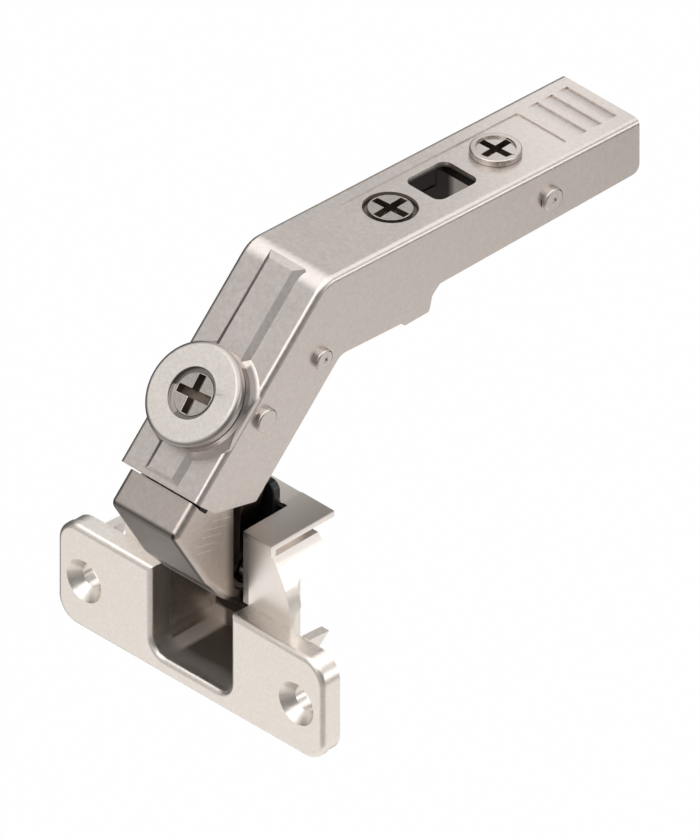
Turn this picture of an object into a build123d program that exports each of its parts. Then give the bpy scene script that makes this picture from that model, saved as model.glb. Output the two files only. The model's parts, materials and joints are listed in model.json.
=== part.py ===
"""Concealed cup hinge with an angled clip-on arm, at its closed position.

Millimetres, +Z up. The origin is the middle of the two fixing holes, on the back face of the flange.
The door lies on the +Y side of that face, +X runs along the hole line, and +Z points to the door's edge.
"""

import os
from math import atan, cos, degrees, radians, sin, sqrt

from build123d import *

# Fixing flange
hole_spacing = 45.0
flange_width = 56.3
flange_height = 18.1
flange_drop = 8.85
flange_thickness = 3.8
flange_corner = 4.0
flange_edge_round = 0.9
flange_rear_step = 0.12
flange_front_layer = 1.65
fixing_hole_radius = 2.1
countersink_radius = 3.65

# Cup that sits in the drilled recess of the door
cup_radius = 17.5
cup_centre_z = 9.5
cup_wall = 1.2
cup_face_thickness = 1.0
cavity_half_width = 7.5
cavity_split_z = 9.3
cavity_depth = 11.0
cavity_ledge_depth = 9.3
cavity_ledge_z = -2.8
box_wall = 1.7
box_shoulder_z = 13.8
box_floor = 1.6
box_corner_reach = 19.6
box_corner_wall = 1.1
notch_half_width = 8.5
notch_bottom_z = -6.0
notch_corner = 3.0
shell_top_z = 20.4
ear_depth = 9.7
ear_foot_z = 16.9
ear_step_depth = 2.5
ear_step_z = 12.0
ear_round = 1.3

# Plate over the door's edge
plate_top_z = 22.3
plate_thickness = 1.0
plate_half_width = 13.4
plate_depth = 13.4
plate_opening_half = 7.5
plate_opening_depth = 9.4
plate_bar_step = 0.14
plate_bar_half = 6.5

# Locating teeth behind the flange
tooth_offset = 20.8
tooth_width = 1.6
tooth_length = 4.1
tooth_height = 3.4
tooth_top_z = 9.35

# Arm, a folded sheet
arm_sheet = 1.1
arm_half_width = 8.3
arm_fold_round = 1.0
arm_end_y = 83.2
arm_end_z = 56.7
arm_rise = 0.0493
slope_offset = 43.3
slope_end_y = -10.43
arm_bottom_end_z = arm_end_z - 9.5
arm_heel_z = arm_end_z - 13.0
arm_heel_front_y = 33.4
arm_heel_rear_y = 38.6
arm_heel_step_z = arm_end_z - 9.0
arm_front_bottom_z = arm_end_z - 11.5
lower_edge_offset = 25.3
bend_round = 5.0
arm_web_end_round = 0.3

# Pivots, as (y, z)
outer_cup_pivot = (7.5, 8.0)
inner_cup_pivot = (4.5, 12.0)
outer_arm_pivot = (3.6, 41.5)
inner_arm_pivot = (15.75, 46.6)
lever_pivot = (64.3, arm_end_z - 5.0)
cup_pin_radius = 1.5
arm_pin_radius = 1.1
running_gap = 0.05
linkage_gap = 0.75
side_gap = 0.3

# Raised bead along the sloping part
bead_half_width = 3.7
bead_side_run = 0.8
bead_height = 1.1
bead_end_y = -9.9

# Collar and disc of the stop adjuster on the slope
disc_foot_y = -0.55
disc_height = 4.1
disc_thickness = 2.1
disc_radius = 8.4
disc_round = 0.8
collar_radius = 8.2
collar_flare = 1.2
collar_hole_radius = 5.4
disc_recess_radius = 4.2
disc_recess_depth = 0.7
boss_radius = 5.35
boss_low = -1.2
boss_ring_radius = 6.2
boss_ring_low = 0.2
boss_ring_height = 0.6

# Screws
screw_head_radius = 3.45
screw_slot_width = 1.2
screw_slot_reach = 2.85
screw_slot_depth = 1.7
screw_slot_turn = 4.0
screw_slot_taper = 0.25
side_screw_y = 38.7
side_hole_radius = 4.3
side_flange_radius = 5.0
side_shank_radius = 1.9
side_screw_length = 9.5
depth_cam_y = 61.0
depth_cam_radius = 4.0
depth_cam_proud = 0.8
depth_cam_offset = 0.7
depth_pin_radius = 1.5
depth_neck_radius = 3.2
depth_travel = 0.7
under_flange = 0.6
under_gap = 0.1

# Stop screw on the slope, with a pad on its tip
stop_shank_radius = 1.85
stop_head_low = 1.5
stop_head_floor = 0.9
stop_pad_radius = 2.4
stop_pad_low = -8.8
stop_pad_height = 1.7
stop_tip_radius = 1.0

# Window, recess and grip steps of the upper arm
window_y = 49.6
window_width = 7.6
window_length = 8.8
window_round = 1.5
top_recess_depth = 0.25
top_recess_half = 5.3
top_recess_start_y = 33.0
top_recess_end_y = 70.9
grip_step_y = (75.2, 78.3, 81.5)
grip_step_depth = 0.3
grip_step_half = 5.3
grip_step_run = 2.2

# Outer link, a folded sheet
link_sheet = 1.2
link_half_width = 7.0
link_fold_round = 1.2
link_drop = 1.22
link_eye_radius = 2.4
link_cup_eye_radius = 2.8
link_clear_radius = 16.6
link_web_start_y = -9.83

# Inner link, a solid lever
lever_half_width = 4.2
lever_body = 4.4
lever_cup_eye_radius = 2.9
lever_arm_eye_radius = 3.5

# Rivets
rivet_head_height = 0.9
outer_rivet_head_radius = 2.0
inner_rivet_head_radius = 1.7
lever_rivet_head_radius = 1.95
rivet_edge_round = 0.3
rivet_slot_gap = 0.12
rivet_dimple_radius = 0.45
rivet_dimple_depth = 0.25

# Mounting channel inside the upper arm
channel_sheet = 1.2
channel_top_gap = 1.1
channel_start_y = 27.5
channel_end_y = 81.6
channel_bottom_z = arm_end_z - 8.8
channel_hook_y = 36.2
channel_hook_width = 3.2
channel_hook_depth = 3.4

# Clip lever
clip_half_width = 5.1
clip_sheet = 1.2
clip_tail_y = 82.0
spring_wire = 0.6
spring_radius = 1.55
spring_turns = 2.5
spring_leg = 6.4

# Buffer of black plastic behind the inner link
buffer_half_width = 5.3
buffer_front_y = 8.6
buffer_top_z = 25.2
buffer_bottom_z = 15.0
buffer_lip = 0.7
buffer_round = 1.6

upper_angle = degrees(atan(arm_rise))
root_half = sqrt(0.5)


def side_prism(points, x_low, x_high, radii=0.0):
    """Prism across X from an outline of (y, z) points, with one radius for each corner."""
    if radii:
        outline = make_face(FilletPolyline(*points, radius=radii, close=True))
    else:
        outline = make_face(Polyline(*points, close=True))
    return extrude(Plane.YZ.offset(x_low) * outline, x_high - x_low)


def slab(outline, y_front, y_back):
    """Prism along Y from a flat outline drawn as (x, z)."""
    return extrude(Plane.XZ.offset(-y_back) * outline, y_back - y_front)


def box_between(x_low, x_high, y_low, y_high, z_low, z_high):
    size = (x_high - x_low, y_high - y_low, z_high - z_low)
    middle = ((x_low + x_high) / 2, (y_low + y_high) / 2, (z_low + z_high) / 2)
    return Pos(*middle) * Box(*size)


def cross_bar(centre, radius, x_low, x_high):
    """Cylinder along X about a (y, z) centre."""
    disc = Pos(centre[0], centre[1]) * Circle(radius)
    return extrude(Plane.YZ.offset(x_low) * disc, x_high - x_low)


def upper_top(y):
    """Height of the upper arm's top face."""
    return arm_end_z + arm_rise * (arm_end_y - y)


def upper_plane(y, drop=0.0):
    """Plane on the upper arm's top face, or drop below it, with its normal outwards."""
    tilt = radians(upper_angle)
    origin = (0, y - drop * sin(tilt), upper_top(y) - drop * cos(tilt))
    return Plane(origin=origin, x_dir=(1, 0, 0), z_dir=(0, sin(tilt), cos(tilt)))


def slope_plane(y, rise=0.0):
    """Plane on the sloping part's top face, or rise above it, with its normal outwards."""
    origin = (0, y - rise * root_half, y + slope_offset + rise * root_half)
    return Plane(origin=origin, x_dir=(1, 0, 0), z_dir=(0, -root_half, root_half))


def post(plane, radius, low, high):
    """Cylinder along a plane's normal, between two heights."""
    return extrude(plane.offset(low) * Circle(radius), high - low)


def cross_recess(plane):
    """Cross-shaped driver recess, sunk from a plane's origin."""
    bar = Rectangle(2 * screw_slot_reach, screw_slot_width)
    cross = bar + Rot(0, 0, 90) * bar
    turned = plane * (Rot(0, 0, screw_slot_turn) * cross)
    return extrude(turned, -screw_slot_depth, taper=screw_slot_taper)


def bend_y():
    """Y of the line where the sloping and upper top faces meet."""
    return (arm_end_z + arm_rise * arm_end_y - slope_offset) / (1 + arm_rise)


def make_flange():
    """Flange with two layers, an open notch, countersunk holes and rounded front edges."""
    centre_z = flange_height / 2 - flange_drop
    parting_y = flange_front_layer - flange_thickness
    notch = u_outline(notch_half_width, notch_bottom_z, notch_corner)
    outline = Pos(0, centre_z) * RectangleRounded(flange_width, flange_height, flange_corner) - notch
    front = slab(outline, -flange_thickness, parting_y)
    front = fillet(front.faces().sort_by(Axis.Y)[0].edges(), flange_edge_round)
    inset = flange_rear_step * 2
    rear_outline = Pos(0, centre_z) * RectangleRounded(flange_width - inset, flange_height - inset, flange_corner)
    flange = front + slab(rear_outline - notch, parting_y, 0)
    for side in (-1, 1):
        hole_x = side * hole_spacing / 2
        hole = Pos(hole_x, 0, 0) * Rot(90, 0, 0) * Cylinder(fixing_hole_radius, 4 * flange_thickness)
        sink_depth = countersink_radius - fixing_hole_radius
        sink = Cone(fixing_hole_radius, countersink_radius, sink_depth * 1.25)
        flange -= hole
        flange -= Pos(hole_x, -flange_thickness + sink_depth * 0.625, 0) * Rot(90, 0, 0) * sink
    return flange


def u_outline(half_width, bottom_z, corner):
    """Outline of a slot that is open upwards, as (x, z)."""
    top_z = plate_top_z * 2
    points = [(-half_width, top_z), (-half_width, bottom_z), (half_width, bottom_z), (half_width, top_z)]
    return make_face(FilletPolyline(*points, radius=[0.0, corner, corner, 0.0], close=True))


def make_cup_shell():
    """Thin round shell with stepped rear ears, on both sides of the opening."""
    ring = slab(Pos(0, cup_centre_z) * (Circle(cup_radius) - Circle(cup_radius - cup_wall)), 0, ear_depth)
    profile = [
        (0, cup_centre_z - 3.5),
        (cup_face_thickness, cup_centre_z - 3.5),
        (cup_face_thickness, ear_step_z - 1.0),
        (ear_step_depth, ear_step_z),
        (ear_step_depth, ear_foot_z - 0.6),
        (ear_depth - 1.0, ear_foot_z),
        (ear_depth, ear_foot_z + 1.6),
        (ear_depth, shell_top_z),
        (0, shell_top_z),
    ]
    radii = [0.0, 0.0, 0.4, 0.8, 1.4, 0.8, 1.0, 0.0, 0.0]
    ears = ring & side_prism(profile, -cup_radius - 1, cup_radius + 1, radii)
    disc = slab(Pos(0, cup_centre_z) * Circle(cup_radius), 0, cup_face_thickness)
    disc &= box_between(-cup_radius, cup_radius, -1, 2, notch_bottom_z, shell_top_z)
    return disc + ears


def corner_limit(reach):
    """Upright prism that cuts the rear corners off a pocket: across plus depth stays within reach."""
    wide = reach + 5
    outline = make_face(Polyline((-wide, reach - wide), (wide, reach - wide), (0, reach), close=True))
    return extrude(Plane.XY.offset(-20) * outline, 60)


def make_cup_housing():
    """One casting: flange, cup, door-edge plate and the pocket that the links swing in."""
    housing = make_flange() + make_cup_shell()
    plate_low = plate_top_z - plate_thickness
    housing += box_between(-plate_half_width, plate_half_width, 0, plate_depth, plate_low, plate_top_z)
    housing += box_between(-plate_half_width, plate_half_width, 0, cup_face_thickness, ear_foot_z, plate_low)
    box_half = cavity_half_width + box_wall
    box_back = cavity_depth + box_floor
    low_half = notch_half_width + box_wall
    pocket = box_between(-box_half, box_half, 0, box_back, box_shoulder_z, plate_low)
    pocket += box_between(-low_half, low_half, 0, box_back, notch_bottom_z - box_wall, box_shoulder_z)
    round_limit = slab(Pos(0, cup_centre_z) * Circle(cup_radius), 0, box_back)
    housing += pocket & round_limit & corner_limit(box_corner_reach)
    inner_limit = corner_limit(box_corner_reach - box_corner_wall / root_half)
    wide = u_outline(notch_half_width, notch_bottom_z, notch_corner)
    wide_zone = box_between(-20, 20, -20, 20, -20, cavity_split_z)
    housing -= slab(wide, -1, cavity_ledge_depth) & wide_zone & inner_limit
    wide_deep = u_outline(notch_half_width, cavity_ledge_z, notch_corner)
    housing -= slab(wide_deep, 0, cavity_depth) & wide_zone & inner_limit
    narrow = box_between(-cavity_half_width, cavity_half_width, -1, cavity_depth, 0, plate_low)
    housing -= narrow & inner_limit
    bar_front = plate_opening_depth
    housing -= box_between(-plate_opening_half, plate_opening_half, -1, bar_front, plate_low - 1, plate_top_z + 1)
    housing -= box_between(-plate_bar_half, plate_bar_half, bar_front, plate_depth,
                           plate_top_z - plate_bar_step, plate_top_z + 1)
    for side in (-1, 1):
        tooth = [
            (0, tooth_top_z),
            (tooth_length, tooth_top_z - 0.3),
            (0.6, tooth_top_z - tooth_height),
            (0, tooth_top_z - tooth_height),
        ]
        middle = side * tooth_offset
        housing += side_prism(tooth, middle - tooth_width / 2, middle + tooth_width / 2)
    for pivot in (outer_cup_pivot, inner_cup_pivot):
        housing -= cross_bar(pivot, cup_pin_radius, -low_half - 1, low_half + 1)
    return housing


def make_cup_pin(pivot):
    """Pin through both walls of the pocket."""
    half = notch_half_width + box_wall
    pin = cross_bar(pivot, cup_pin_radius, -half, half)
    return chamfer(pin.edges().filter_by(GeomType.CIRCLE), 0.25)


def make_buffer():
    """Plastic stop that clips over the rear edge of the plate's opening."""
    rear = plate_opening_depth
    bar_top = plate_top_z - plate_bar_step
    profile = [
        (buffer_front_y, buffer_bottom_z),
        (rear, buffer_bottom_z),
        (rear, bar_top),
        (rear + buffer_lip, bar_top),
        (rear + buffer_lip, buffer_top_z),
        (buffer_front_y, buffer_top_z),
    ]
    body = side_prism(profile, -buffer_half_width, buffer_half_width)
    corners = [
        edge for edge in body.edges().filter_by(Axis.Y)
        if edge.center().Z > buffer_top_z - 0.01
    ]
    body = fillet(corners, buffer_round)
    foot = box_between(-buffer_half_width, buffer_half_width, rear, cavity_depth, buffer_bottom_z,
                       plate_top_z - plate_thickness)
    return body + foot


def arm_outline(drop):
    """Side outline of the arm; drop moves its two top lines inwards by that distance."""
    slope_z = slope_offset - drop / root_half
    upper_drop = drop / cos(radians(upper_angle))
    meet_y = (arm_end_z + arm_rise * arm_end_y - upper_drop - slope_z) / (1 + arm_rise)
    end_y = slope_end_y + drop * root_half
    return [
        (end_y, end_y + slope_z),
        (meet_y, meet_y + slope_z),
        (arm_end_y, arm_end_z - upper_drop),
    ]


def make_folded(top, x_half, sheet, bend, fold, bottom_z):
    """Long channel with rounded folds: top holds the (y, z) points of its web's outer face."""
    first, last = top[0], top[-1]
    outline = [(first[0], bottom_z)] + top + [(last[0], bottom_z)]
    corner = [0.0, 0.0] + [bend] * (len(top) - 2) + [0.0, 0.0]
    solid = side_prism(outline, -x_half, x_half, corner)
    folds = [
        edge for edge in solid.edges()
        if abs(abs(edge.center().X) - x_half) < 0.01 and is_on_top(edge, first, last, bottom_z)
    ]
    return fillet(folds, fold)


def is_on_top(edge, first, last, bottom_z):
    """True for an edge of the web's outline, and not of the ends or the open side."""
    centre = edge.center()
    inside = first[0] + 0.01 < centre.Y < last[0] - 0.01
    return inside and centre.Z > bottom_z + 0.01


def make_arm_blank():
    """Folded channel cut to the side outline, less its inside."""
    slope_top, bend_top, upper_top_end = arm_outline(0.0)
    reach = 8.0
    top = [
        (slope_top[0] - reach, slope_top[1] - reach),
        bend_top,
        (upper_top_end[0] + reach, upper_top_end[1] - reach * arm_rise),
    ]
    solid = make_folded(top, arm_half_width, arm_sheet, bend_round, arm_fold_round, 10.0)
    lower_corner_y = arm_front_bottom_z - lower_edge_offset
    wall_outline = [
        slope_top,
        (bend_top[0] - 1.0, bend_top[1] + 2.0),
        (arm_end_y, arm_end_z + 4.0),
        (arm_end_y, arm_bottom_end_z),
        (arm_heel_rear_y + 2.3, arm_heel_step_z),
        (arm_heel_rear_y + 0.7, arm_heel_step_z - 1.4),
        (arm_heel_rear_y, arm_heel_z),
        (arm_heel_front_y, arm_heel_z),
        (arm_heel_front_y - 0.5, arm_front_bottom_z - 0.8),
        (lower_corner_y, arm_front_bottom_z),
        (1.9, 1.9 + lower_edge_offset),
        (-6.8, 29.3),
    ]
    radii = [arm_web_end_round, 0.0, 0.0, 1.5, 0.8, 0.6, 0.5, 0.4, 0.2, 2.5, 0.6, 0.6]
    blank = solid & side_prism(wall_outline, -arm_half_width - 1, arm_half_width + 1, radii)
    slope_inner, bend_inner, upper_inner = arm_outline(arm_sheet)
    inner = [
        (slope_inner[0] - reach, slope_inner[1] - reach),
        bend_inner,
        (upper_inner[0] + reach, upper_inner[1] - reach * arm_rise),
        (upper_inner[0] + reach, 30.0),
        (slope_inner[0] - reach, 10.0),
    ]
    inner_half = arm_half_width - arm_sheet
    hollow = side_prism(inner, -inner_half, inner_half, [0.0, bend_round - arm_sheet, 0.0, 0.0, 0.0])
    return blank - hollow


def bead_solid(shrink, top, start_y, end_y, base):
    """Long raised form with slanting sides along the slope, between two heights."""
    half = bead_half_width - shrink
    profile = [(-half, base), (half, base), (half - bead_side_run, top), (-half + bead_side_run, top)]
    length = (start_y - end_y) / root_half
    lower_end = slope_plane(end_y)
    section = Plane(origin=lower_end.origin, x_dir=(1, 0, 0), z_dir=(0, -root_half, -root_half))
    outline = make_face(Polyline(*profile, close=True))
    return extrude(section * outline, -length)


def add_bead(arm):
    """Press the raised bead into the sloping web, hollow below."""
    start = bend_y() + 3.0
    below_upper = side_prism([
        (-40, upper_top(-40)),
        (40, upper_top(40)),
        (40, 20),
        (-40, 20),
    ], -arm_half_width, arm_half_width)
    arm += bead_solid(0.0, bead_height, start, bead_end_y, -0.3) & below_upper
    hollow = bead_solid(arm_sheet * 0.9, bead_height - arm_sheet, bend_y() - 1.0, bead_end_y + 1.0, -arm_sheet - 1)
    return arm - hollow


def add_collar(arm):
    """Drawn collar that carries the adjuster disc, flared where it meets the web."""
    top = disc_height - disc_thickness
    foot = slope_plane(disc_foot_y)
    profile = [
        (0, -0.5),
        (collar_radius + collar_flare, -0.5),
        (collar_radius + collar_flare, 0.0),
        (collar_radius + 0.15, 1.0),
        (collar_radius, top),
        (0, top),
    ]
    section = Plane(origin=foot.origin, x_dir=(1, 0, 0), z_dir=(0, -root_half, -root_half))
    outline = section * make_face(Polyline(*profile, close=True))
    collar = revolve(outline, Axis(foot.origin, foot.z_dir))
    collar &= box_between(-arm_half_width, arm_half_width, -40, 40, 0, 90)
    arm += collar
    arm -= post(foot, collar_radius - arm_sheet, -arm_sheet - 0.5, top - arm_sheet)
    return arm - post(foot, collar_hole_radius, -3, top + 1)


def cut_upper_details(arm):
    """Screw holes, window, shallow recess and ramped grip steps in the upper web."""
    arm -= post(upper_plane(side_screw_y), side_hole_radius, -3, 2)
    arm -= post(upper_plane(depth_cam_y), depth_neck_radius + running_gap, -3, 2)
    window = upper_plane(window_y) * RectangleRounded(window_width, window_length, window_round)
    arm -= extrude(window, -3)
    length = top_recess_end_y - top_recess_start_y
    middle = (top_recess_end_y + top_recess_start_y) / 2
    field = RectangleRounded(2 * top_recess_half, length, 0.6)
    arm -= extrude(upper_plane(middle) * field, -top_recess_depth)
    for step_y in grip_step_y:
        z_low = upper_top(step_y) - grip_step_depth
        ramp = [
            (step_y - grip_step_run, upper_top(step_y - grip_step_run)),
            (step_y, z_low),
            (step_y, upper_top(step_y) + 0.5),
            (step_y - grip_step_run, upper_top(step_y - grip_step_run) + 0.5),
        ]
        arm -= side_prism(ramp, -grip_step_half, grip_step_half)
    return arm


def make_arm():
    """Hinge arm: one folded sheet with bead, collar, holes and pin bores."""
    arm = make_arm_blank()
    arm = add_bead(arm)
    arm = add_collar(arm)
    arm = cut_upper_details(arm)
    wide = arm_half_width + 2
    arm -= cross_bar(outer_arm_pivot, arm_pin_radius, -wide, wide)
    arm -= cross_bar(inner_arm_pivot, arm_pin_radius, -wide, wide)
    slot_reach = depth_travel + 0.15
    slot_half = arm_pin_radius + rivet_slot_gap
    for shift in (-slot_reach, slot_reach):
        centre = (lever_pivot[0] + shift, lever_pivot[1])
        arm -= cross_bar(centre, slot_half, -wide, wide)
    arm -= box_between(-wide, wide, lever_pivot[0] - slot_reach, lever_pivot[0] + slot_reach,
                       lever_pivot[1] - slot_half, lever_pivot[1] + slot_half)
    return arm


def rivet(pivot, head_radius, inner_x, shank_radius, dimple):
    """Rivet along +X: shank from inner_x outwards, with a flat head outside the arm's wall."""
    head_top = arm_half_width + rivet_head_height
    head = cross_bar(pivot, head_radius, arm_half_width, head_top)
    head = fillet(head.faces().sort_by(Axis.X)[-1].edges(), rivet_edge_round)
    whole = head + cross_bar(pivot, shank_radius, inner_x, arm_half_width)
    if dimple:
        whole -= cross_bar(pivot, rivet_dimple_radius, head_top - rivet_dimple_depth, head_top + 1)
    return whole


def make_outer_arm_rivets():
    """Two short rivets, one for each side plate of the outer link."""
    stub = rivet(outer_arm_pivot, outer_rivet_head_radius, link_half_width - link_sheet - 0.4,
                 arm_pin_radius, False)
    return [stub, mirror(stub, about=Plane.YZ)]


def through_rivet(pivot, head_radius, shank_radius, dimple):
    half = rivet(pivot, head_radius, 0.0, shank_radius, dimple)
    return half + mirror(half, about=Plane.YZ)


def round_arm_pivot(radius, angle):
    """Point at a distance and angle (degrees from +Y towards +Z) from the outer link's arm pivot."""
    turn = radians(angle)
    return (outer_arm_pivot[0] + radius * cos(turn), outer_arm_pivot[1] + radius * sin(turn))


def link_web_z():
    """Offset of the link's web plane, z - y."""
    return slope_offset - link_drop / root_half


def link_outline():
    """Side outline of the outer link, from its arm eye round the front fold to its cup eye."""
    eye_y, eye_z = outer_arm_pivot
    cup_y, cup_z = outer_cup_pivot
    web_z = link_web_z()
    front_y = -14.14
    return [
        (eye_y - link_eye_radius * sin(radians(58)), eye_z + link_eye_radius * cos(radians(58))),
        round_arm_pivot(15.6, 229.2),
        round_arm_pivot(link_clear_radius + 0.15, 228.6),
        round_arm_pivot(link_clear_radius + 0.15, 222.5),
        (link_web_start_y, link_web_start_y + web_z),
        (front_y - 3.0, front_y + web_z),
        (front_y - 3.0, front_y + web_z - 3.0),
        (-7.3, 15.6),
        (-3.0, 10.6),
        (0.4, 7.4),
        (cup_y - 1.6, cup_z - link_cup_eye_radius + 0.3),
        (cup_y - 1.6, cup_z + 1.6),
        (1.2, 10.4),
        (-1.6, 12.4),
        (-1.6, 27.5),
        (1.2, 33.0),
        (eye_y + link_eye_radius - 0.3, eye_z - 1.2),
        (eye_y, eye_z),
    ]


def make_outer_link():
    """Outer link: a folded sheet whose web is at the front, with two side plates."""
    web_z = link_web_z()
    vertex = (-14.14, -14.14 + web_z)
    low = (-7.3, 15.6)
    tail = (-3.0, 10.6)
    web = [(6.0, 6.0 + web_z), vertex, low, tail, (4.0, 5.2)]
    outline = web + [(30.0, 5.2), (30.0, 36.0)]
    solid = side_prism(outline, -link_half_width, link_half_width, [0.0, 1.3, 3.0, 2.0, 0.0, 0.0, 0.0])
    folds = [
        edge for edge in solid.edges()
        if abs(abs(edge.center().X) - link_half_width) < 0.01
        and edge.center().Y < 4.0 and not edge.center().Z < 5.21
    ]
    solid = fillet(folds, link_fold_round)
    radii = [0.0, 0.4, 0.2, 0.0, 0.0, 0.0, 0.0, 0.0, 0.0, 0.0, 0.3, 0.3, 1.0, 1.5, 3.0, 2.0, 0.5, 0.0]
    link = solid & side_prism(link_outline(), -link_half_width - 1, link_half_width + 1, radii)
    inner_half = link_half_width - link_sheet
    depth = link_sheet / root_half
    hollow_points = [
        (16.0, 60.0),
        (link_web_start_y + 1.4, 60.0),
        (link_web_start_y + 1.4, link_web_start_y + 1.4 + web_z - depth),
        (vertex[0] + 1.55, vertex[0] + 1.55 + web_z - depth),
        (low[0] + 1.05, low[1] + 0.7),
        (tail[0] + 0.95, tail[1] + 0.95),
        (2.2, 7.6),
        (4.0, 3.0),
        (16.0, 3.0),
        (16.0, 28.0),
    ]
    link -= side_prism(hollow_points, -inner_half, inner_half)
    eyes = cross_bar(outer_arm_pivot, link_eye_radius, inner_half, link_half_width)
    eyes += cross_bar(outer_cup_pivot, link_cup_eye_radius, inner_half, link_half_width)
    link += eyes + mirror(eyes, about=Plane.YZ)
    wide = link_half_width + 1
    link -= cross_bar(outer_arm_pivot, arm_pin_radius + running_gap, -wide, wide)
    link -= cross_bar(outer_cup_pivot, cup_pin_radius + running_gap, -wide, wide)
    return link


def make_inner_link():
    """Inner link: a bowed solid lever between the outer link's side plates."""
    half = lever_body / 2
    front = [(inner_cup_pivot[0] - half, 13.5), (2.6, 22.0), (6.2, 34.0), (13.6, 46.2)]
    rear = [(17.6, 44.8), (10.5, 33.0), (6.9, 22.0), (inner_cup_pivot[0] + half, 13.5)]
    radii = [0.0, 12.0, 14.0, 0.0, 0.0, 14.0, 12.0, 0.0]
    body = side_prism(front + rear, -lever_half_width, lever_half_width, radii)
    body += cross_bar(inner_cup_pivot, lever_cup_eye_radius, -lever_half_width, lever_half_width)
    body += cross_bar(inner_arm_pivot, lever_arm_eye_radius, -lever_half_width, lever_half_width)
    wide = lever_half_width + 1
    body -= cross_bar(inner_cup_pivot, cup_pin_radius + running_gap, -wide, wide)
    body -= cross_bar(inner_arm_pivot, arm_pin_radius + linkage_gap, -wide, wide)
    return body


def make_spacers():
    """Pair of sleeves that keep the inner link in the middle of its cup pin."""
    low = lever_half_width + side_gap
    high = link_half_width - link_sheet - side_gap
    sleeve = cross_bar(inner_cup_pivot, cup_pin_radius + 0.9, low, high)
    sleeve -= cross_bar(inner_cup_pivot, cup_pin_radius, low - 1, high + 1)
    return [sleeve, mirror(sleeve, about=Plane.YZ)]


def make_disc():
    """Round disc on the collar, with a rounded rim, a screw recess and a threaded boss below."""
    foot = slope_plane(disc_foot_y)
    low = disc_height - disc_thickness
    disc = post(foot, disc_radius, low, disc_height)
    disc = fillet(disc.edges().filter_by(GeomType.CIRCLE), disc_round)
    disc += post(foot, boss_radius, boss_low, low + 0.5)
    disc -= post(foot, disc_recess_radius, disc_height - disc_recess_depth, disc_height + 1)
    disc -= post(foot, screw_head_radius + running_gap, stop_head_floor, disc_height + 1)
    return disc - post(foot, stop_shank_radius + running_gap, boss_low - 1, disc_height)


def make_retaining_ring():
    """Ring below the collar that keeps the disc's boss in its hole."""
    foot = slope_plane(disc_foot_y)
    ring = post(foot, boss_ring_radius, boss_ring_low, boss_ring_low + boss_ring_height)
    return ring - post(foot, boss_radius, boss_ring_low - 1, boss_ring_low + 2)


def make_stop_screw():
    """Stop screw: its tip sets how far the inner link can come towards the slope."""
    foot = slope_plane(disc_foot_y)
    head_top = disc_height - disc_recess_depth + 0.15
    pad_top = stop_pad_low + stop_pad_height
    screw = post(foot, screw_head_radius, stop_head_low, head_top)
    screw += post(foot, stop_shank_radius, pad_top + 0.1, stop_head_low)
    screw += post(foot, stop_tip_radius, stop_pad_low + 0.6, pad_top + 0.1)
    return screw - cross_recess(foot.offset(head_top))


def make_stop_pad():
    """Plastic pad that snaps on the stop screw's tip and doesn't turn with it."""
    foot = slope_plane(disc_foot_y)
    pad = post(foot, stop_pad_radius, stop_pad_low, stop_pad_low + stop_pad_height)
    pad = fillet(pad.edges().filter_by(GeomType.CIRCLE), 0.3)
    return pad - post(foot, stop_tip_radius + running_gap, stop_pad_low + 0.5, 0)


def make_side_screw():
    """Side adjusting screw: head in the arm's hole, flange below the web and a long shank."""
    plane = upper_plane(side_screw_y)
    flange_top = -arm_sheet - under_gap
    screw = post(plane, screw_head_radius, flange_top, -top_recess_depth)
    screw += post(plane, side_flange_radius, flange_top - under_flange, flange_top)
    screw += post(plane, side_shank_radius, -side_screw_length, flange_top)
    return screw - cross_recess(plane.offset(-top_recess_depth))


def make_depth_cam():
    """Depth adjusting cam: a proud ring on the arm, a neck in its hole and an eccentric peg."""
    plane = upper_plane(depth_cam_y)
    face = depth_cam_proud - 0.35
    cam = post(plane, depth_cam_radius, 0.05 - top_recess_depth, depth_cam_proud)
    cam = fillet(cam.faces().filter_by(GeomType.PLANE).sort_by(Axis.Z)[-1].edges(), 0.25)
    cam -= post(plane, screw_head_radius - 0.35, face, depth_cam_proud + 1)
    cam += post(plane, depth_neck_radius, -arm_sheet - under_gap - under_flange, 0)
    peg_x = Vector(depth_cam_offset, 0, 0)
    peg = Plane(origin=plane.origin + peg_x, x_dir=plane.x_dir, z_dir=plane.z_dir)
    cam += post(peg, depth_pin_radius, -arm_sheet - channel_top_gap - channel_sheet, -arm_sheet - under_gap)
    return cam - cross_recess(plane.offset(face))


def make_cam_washer():
    """Washer below the arm's web, riveted on the cam's neck."""
    plane = upper_plane(depth_cam_y)
    top = -arm_sheet - under_gap
    washer = post(plane, depth_cam_radius + 0.3, top - under_flange, top)
    return washer - post(plane, depth_neck_radius, top - 2, top + 1)


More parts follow.
